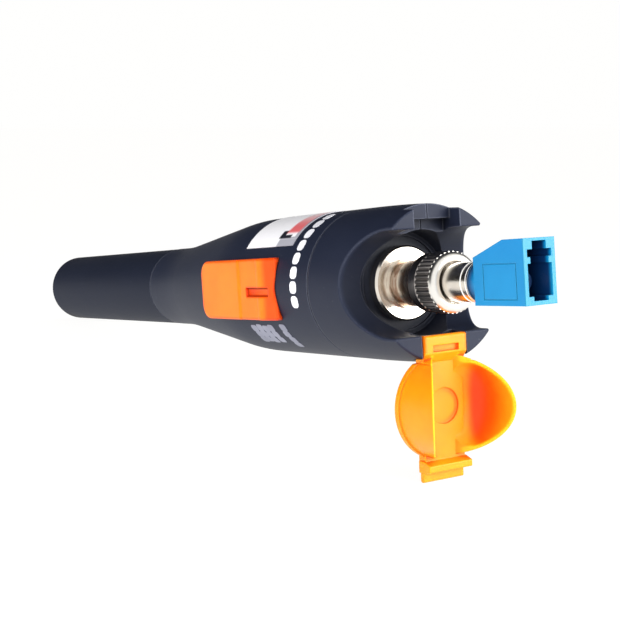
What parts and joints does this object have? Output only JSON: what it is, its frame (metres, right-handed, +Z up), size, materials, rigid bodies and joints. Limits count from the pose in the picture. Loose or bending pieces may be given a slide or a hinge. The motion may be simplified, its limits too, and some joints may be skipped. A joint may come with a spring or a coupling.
{
  "type": "visual fault locator",
  "caption": "Pen-type visual fault locator: dark tapered battery body, orange slide switch, hinged dust cap and a screw-on hybrid fibre adapter with a small blue receptacle.",
  "frame": {"origin": "middle of the bounding box's bottom, on the floor that the pen rests on", "axes": "the pen lies in the XZ plane with its tail at -X and its port at +X, rising 8.0 degrees towards the port; the slide switch is on -Y; +Z is up"},
  "size_m": [0.196, 0.0274, 0.0449],
  "materials": {
    "body_plastic": "fine satin, dark blue-grey",
    "orange_plastic": "satin orange",
    "cap_plastic": "satin, soft orange-yellow",
    "black_rubber": "matte",
    "inner_plastic": "matte",
    "plated_steel": "plated",
    "cell_jacket": "satin",
    "board_green": "solder mask",
    "capacitor_can": "drawn can",
    "brass": "turned",
    "diode_can": "gold-plated can",
    "lens_glass": "clear, coated",
    "nickel": "nickel-plated, satin",
    "ferrule_ceramic": "polished",
    "blue_plastic": "satin blue",
    "label_film": "white film with plain colour fields, no lettering"
  },
  "bodies": {
    "pen": {"main_housing": "body_plastic", "head_bezel": "body_plastic", "contact_holder": "inner_plastic", "positive_contact": "plated_steel", "circuit_board": "board_green", "driver_chip": "inner_plastic", "capacitor": "capacitor_can", "switch_case": "inner_plastic", "laser_barrel": "brass", "laser_diode": "diode_can", "laser_lens": "lens_glass", "lens_retainer": "brass", "set_screws": "plated_steel", "port_flange": "nickel", "port_barrel": "nickel", "port_sleeve": "ferrule_ceramic", "hinge_pin": "plated_steel", "label_panel": "label_film"},
    "battery": {"battery_tube": "body_plastic", "tube_gasket": "black_rubber", "contact_ring": "plated_steel", "tail_spring": "plated_steel", "rear_cell": "cell_jacket", "front_cell": "cell_jacket"},
    "cap": {"dust_cap": "cap_plastic"},
    "button": {"switch_button": "orange_plastic", "switch_lever": "inner_plastic"},
    "adapter": {"adapter_body": "nickel", "adapter_ferrule": "ferrule_ceramic", "ferrule_holder": "nickel", "ferrule_spring": "plated_steel", "receptacle_shell": "blue_plastic", "small_sleeve": "ferrule_ceramic"},
    "nut": {"coupling_nut": "nickel"}
  },
  "joints": [
    {"name": "cap_hinge", "type": "hinge", "parent": "pen", "child": "cap", "pos_m": [0.07459, 0.00055, 0.02237], "axis": [0, -1, 0], "range_deg": [0, 100]},
    {"name": "switch_slide", "type": "slide", "parent": "pen", "child": "button", "axis": [0.9903, 0, 0.1387], "range_m": [0, 0.004]},
    {"name": "tube_out", "type": "slide", "parent": "pen", "child": "battery", "axis": [-0.9903, 0, -0.1387], "range_m": [0, 0.18]},
    {"name": "adapter_out", "type": "slide", "parent": "pen", "child": "adapter", "axis": [0.9903, 0, 0.1387], "range_m": [0, 0.014]},
    {"name": "nut_spin", "type": "hinge", "parent": "adapter", "child": "nut", "pos_m": [0.07433, 0.00055, 0.03248], "axis": [0.9903, 0, 0.1387], "continuous": true}
  ]
}
